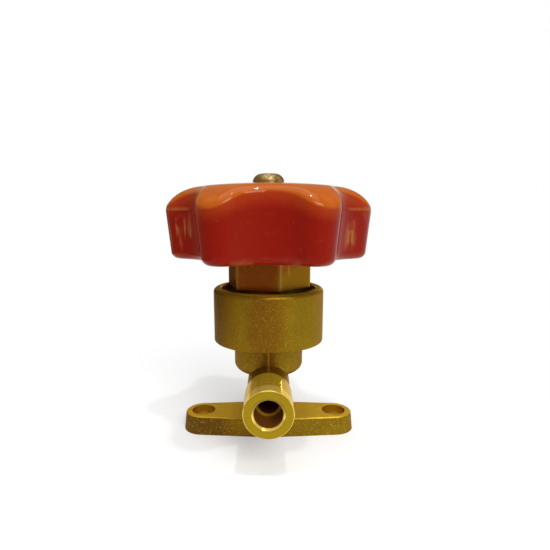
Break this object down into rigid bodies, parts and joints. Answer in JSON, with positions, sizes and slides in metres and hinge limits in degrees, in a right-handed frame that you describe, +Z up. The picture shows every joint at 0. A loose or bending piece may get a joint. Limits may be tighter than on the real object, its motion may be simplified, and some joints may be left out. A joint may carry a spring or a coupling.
{
  "type": "hand valve",
  "caption": "Packless diaphragm hand valve: forged brass body with in-line solder ends, drilled mounting foot, hexagon bonnet and lobed plastic handwheel that lifts a spring-returned plug.",
  "frame": {"origin": "centre of the foot's underside, below the stem's axis", "axes": "+Z up along the stem, Y along the two solder ends, X along the foot's two holes"},
  "size_m": [0.0518, 0.0514, 0.0674],
  "materials": {
    "forged_brass": "forged, blasted, with machined ends and bores",
    "turned_brass": "turned from bar, slightly tarnished",
    "wheel_plastic": "glossy orange-red moulding",
    "plated_steel": "yellow zinc plating",
    "spring_steel": "bright rolled or drawn steel",
    "seal_rubber": "moulded seal",
    "seat_plastic": "turned nylon"
  },
  "bodies": {
    "body": {"valve_body": "forged_brass", "bonnet": "turned_brass", "clamp_ring": "turned_brass", "stem_o_ring": "seal_rubber", "diaphragm_1": "spring_steel", "diaphragm_2": "spring_steel", "diaphragm_3": "spring_steel", "diaphragm_4": "spring_steel", "return_spring": "spring_steel"},
    "pusher": {"thrust_pad": "turned_brass", "thrust_ball": "spring_steel"},
    "wheel": {"stem": "turned_brass", "handwheel": "wheel_plastic", "wheel_washer": "plated_steel", "wheel_screw": "plated_steel"},
    "plug": {"valve_plug": "turned_brass", "seat_disc": "seat_plastic"}
  },
  "joints": [
    {"name": "stem_lift", "type": "slide", "parent": "body", "child": "pusher", "axis": [0, 0, 1], "range_m": [0, 0.0018], "deforming": ["diaphragm_1", "diaphragm_2", "diaphragm_3", "diaphragm_4"]},
    {"name": "handwheel_turn", "type": "hinge", "parent": "pusher", "child": "wheel", "pos_m": [0, 0, 0.06], "axis": [0, 0, 1], "range_deg": [0, 518]},
    {"name": "plug_lift", "type": "slide", "parent": "body", "child": "plug", "axis": [0, 0, 1], "range_m": [0, 0.0018], "deforming": ["return_spring"]}
  ],
  "couplings": [
    {"joint": "stem_lift", "follows": "handwheel_turn", "m_per_rad": 0.00019894},
    {"joint": "plug_lift", "follows": "handwheel_turn", "m_per_rad": 0.00019894}
  ]
}
